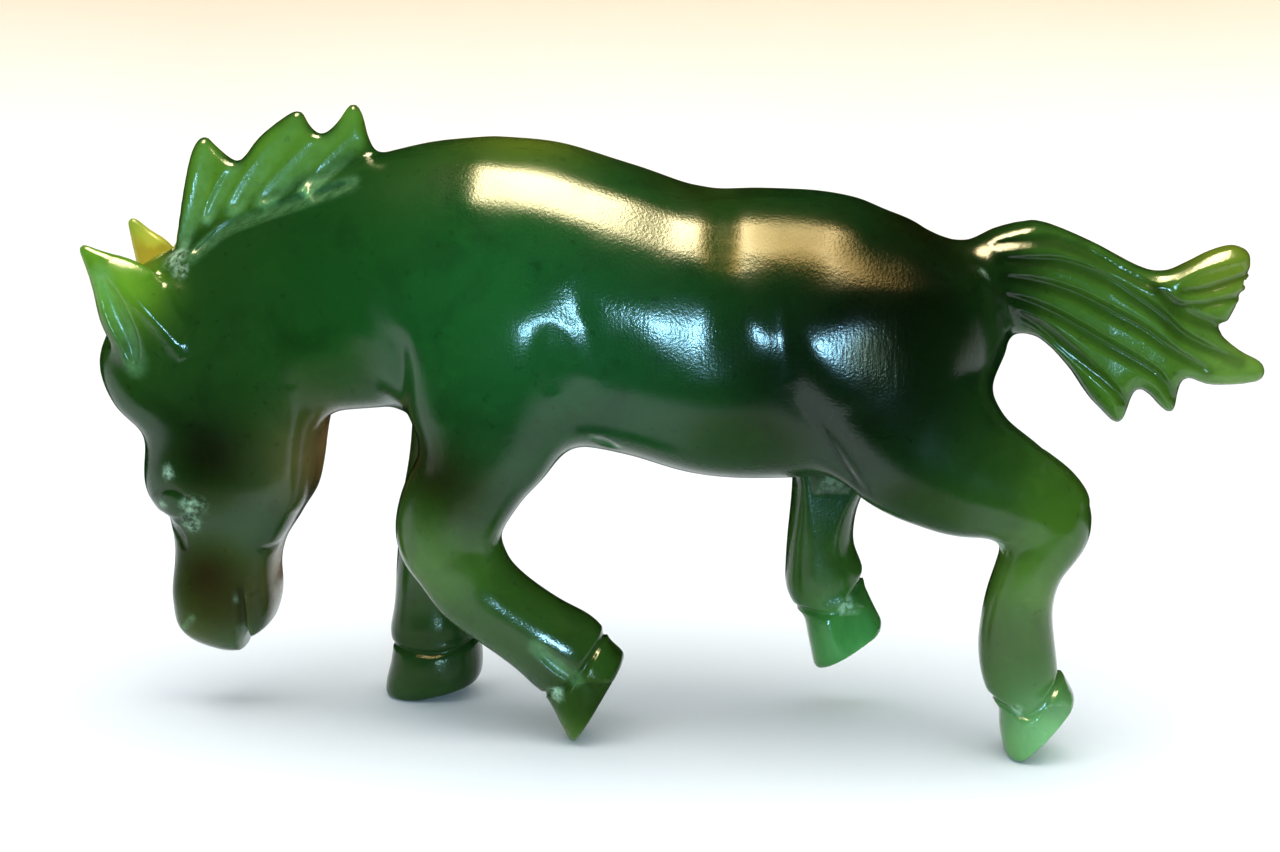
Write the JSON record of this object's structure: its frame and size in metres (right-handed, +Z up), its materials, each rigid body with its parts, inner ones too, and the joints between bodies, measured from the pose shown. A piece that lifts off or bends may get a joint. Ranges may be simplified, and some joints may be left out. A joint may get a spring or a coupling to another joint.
{
  "type": "carved stone horse figurine",
  "caption": "Free-standing carved stone horse in a walking pose, head lowered, with a crested mane plate and a grooved fan tail.",
  "frame": {"origin": "on the supporting surface, below the centre of the figurine's box", "axes": "+Z up, -X where the horse looks, +X its tail, -Y its left side"},
  "size_m": [0.1177, 0.0288, 0.0639],
  "materials": {
    "jade": "polished translucent green stone, paler where it is thin"
  },
  "bodies": {
    "root": {"carved_horse": "jade"}
  },
  "joints": []
}
